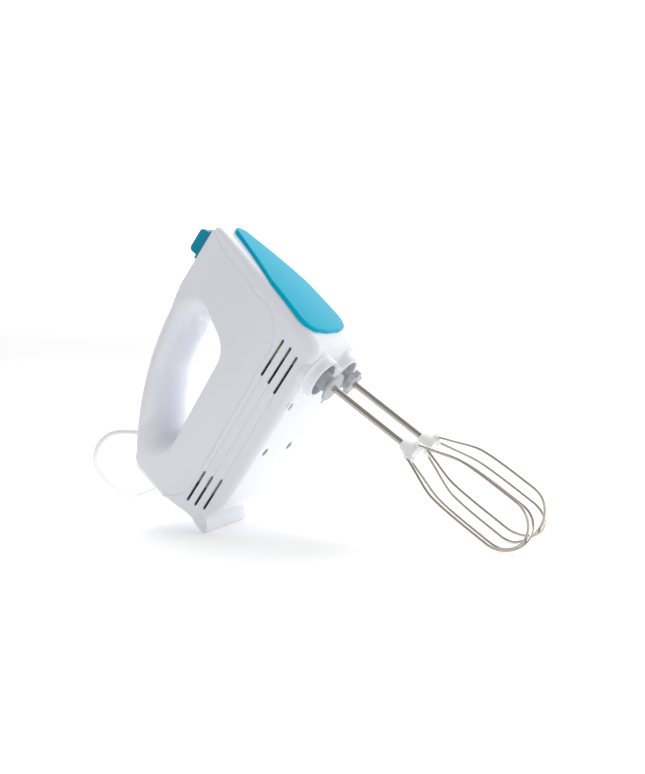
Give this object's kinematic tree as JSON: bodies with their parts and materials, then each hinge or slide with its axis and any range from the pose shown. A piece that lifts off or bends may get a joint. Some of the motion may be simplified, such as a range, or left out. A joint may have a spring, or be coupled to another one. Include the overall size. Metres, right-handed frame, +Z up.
{
  "type": "hand mixer",
  "caption": "White electric hand mixer with a closed-loop handle, coloured nose panel, speed slider with eject button, and two wire balloon whisks.",
  "frame": {"origin": "middle of the standing mixer's box on the table, the lead left out", "axes": "+Z up; +X from the heel towards the whisk tips; +Y to the mixer's left side"},
  "size_m": [0.4167, 0.3575, 0.2419],
  "materials": {
    "housing_white": "polished moulded ABS",
    "panel_teal": "polished moulded ABS",
    "knob_teal": "satin moulded ABS",
    "collar_grey": "satin moulded plastic",
    "hub_white": "satin moulded plastic",
    "shaft_steel": "ground bar",
    "wire_steel": "drawn wire",
    "screw_steel": "zinc plated",
    "spring_steel": "drawn wire",
    "worm_steel": "machined",
    "lamination_steel": "stamped sheets",
    "copper": "turned copper",
    "winding": "enamelled copper wire",
    "bronze": "sintered",
    "contact_brass": "stamped",
    "pin_brass": "nickel plated brass",
    "carbon": "pressed carbon",
    "dark_plastic": "moulded",
    "bracket_grey": "glass-filled nylon",
    "inner_plastic": "acetal",
    "lead_white": "PVC"
  },
  "bodies": {
    "housing": {"upper_housing": "housing_white", "lower_housing": "housing_white", "front_panel": "panel_teal", "switch_plate": "housing_white", "housing_screws": "screw_steel", "switch_body": "dark_plastic", "ejector_springs": "spring_steel", "gearbox_base": "bracket_grey", "gearbox_cover": "bracket_grey", "gearbox_screws": "screw_steel", "spindle_bushes": "bronze", "stator_core": "lamination_steel", "right_field_coil": "winding", "left_field_coil": "winding", "rear_bridge": "bracket_grey", "motor_screws": "screw_steel", "front_bearing": "bronze", "rear_bearing": "bronze", "brush_holders": "contact_brass", "carbon_brushes": "carbon", "brush_springs": "spring_steel", "strain_relief": "lead_white", "cord_clamp": "dark_plastic", "handle_lead": "lead_white", "mains_lead": "lead_white", "lead_coil": "lead_white", "plug_body": "lead_white", "plug_pins": "pin_brass"},
    "rotor": {"motor_shaft": "shaft_steel", "worm": "worm_steel", "armature_core": "lamination_steel", "armature_winding": "winding", "commutator": "copper", "cooling_fan": "inner_plastic"},
    "right_wheel": {"right_worm_wheel": "inner_plastic"},
    "left_wheel": {"left_worm_wheel": "inner_plastic"},
    "right_whisk": {"right_whisk_shaft": "shaft_steel", "right_whisk_collar": "collar_grey", "right_whisk_hub": "hub_white", "right_whisk_wires": "wire_steel"},
    "left_whisk": {"left_whisk_shaft": "shaft_steel", "left_whisk_collar": "collar_grey", "left_whisk_hub": "hub_white", "left_whisk_wires": "wire_steel"},
    "slider": {"speed_slider": "knob_teal", "switch_wiper": "contact_brass"},
    "button": {"eject_button": "knob_teal"},
    "ejector": {"ejector_yoke": "inner_plastic"}
  },
  "joints": [
    {"name": "rotor_spin", "type": "hinge", "parent": "housing", "child": "rotor", "pos_m": [-0.02559, 0, 0.14661], "axis": [0.5736, 0, 0.8192], "continuous": true},
    {"name": "right_wheel_spin", "type": "hinge", "parent": "housing", "child": "right_wheel", "pos_m": [-0.02559, -0.021, 0.14661], "axis": [-0.8192, 0, 0.5736], "continuous": true},
    {"name": "left_wheel_spin", "type": "hinge", "parent": "housing", "child": "left_wheel", "pos_m": [-0.02559, 0.021, 0.14661], "axis": [-0.8192, 0, 0.5736], "continuous": true},
    {"name": "right_whisk_pull", "type": "slide", "parent": "right_wheel", "child": "right_whisk", "axis": [0.8192, 0, -0.5736], "range_m": [0, 0.05]},
    {"name": "left_whisk_pull", "type": "slide", "parent": "left_wheel", "child": "left_whisk", "axis": [0.8192, 0, -0.5736], "range_m": [0, 0.05]},
    {"name": "speed_slide", "type": "slide", "parent": "housing", "child": "slider", "axis": [-0.5736, 0, -0.8192], "range_m": [0, 0.018]},
    {"name": "eject_press", "type": "slide", "parent": "slider", "child": "button", "axis": [0.8192, 0, -0.5736], "range_m": [0, 0.004], "stiffness_N_per_m": 400, "springref_m": -0.001},
    {"name": "ejector_slide", "type": "slide", "parent": "housing", "child": "ejector", "axis": [0.8192, 0, -0.5736], "range_m": [0, 0.004], "stiffness_N_per_m": 100, "springref_m": -0.001}
  ],
  "couplings": [
    {"joint": "right_wheel_spin", "follows": "rotor_spin", "ratio": 0.041667},
    {"joint": "left_wheel_spin", "follows": "rotor_spin", "ratio": -0.041667},
    {"joint": "ejector_slide", "follows": "eject_press", "ratio": 1}
  ]
}
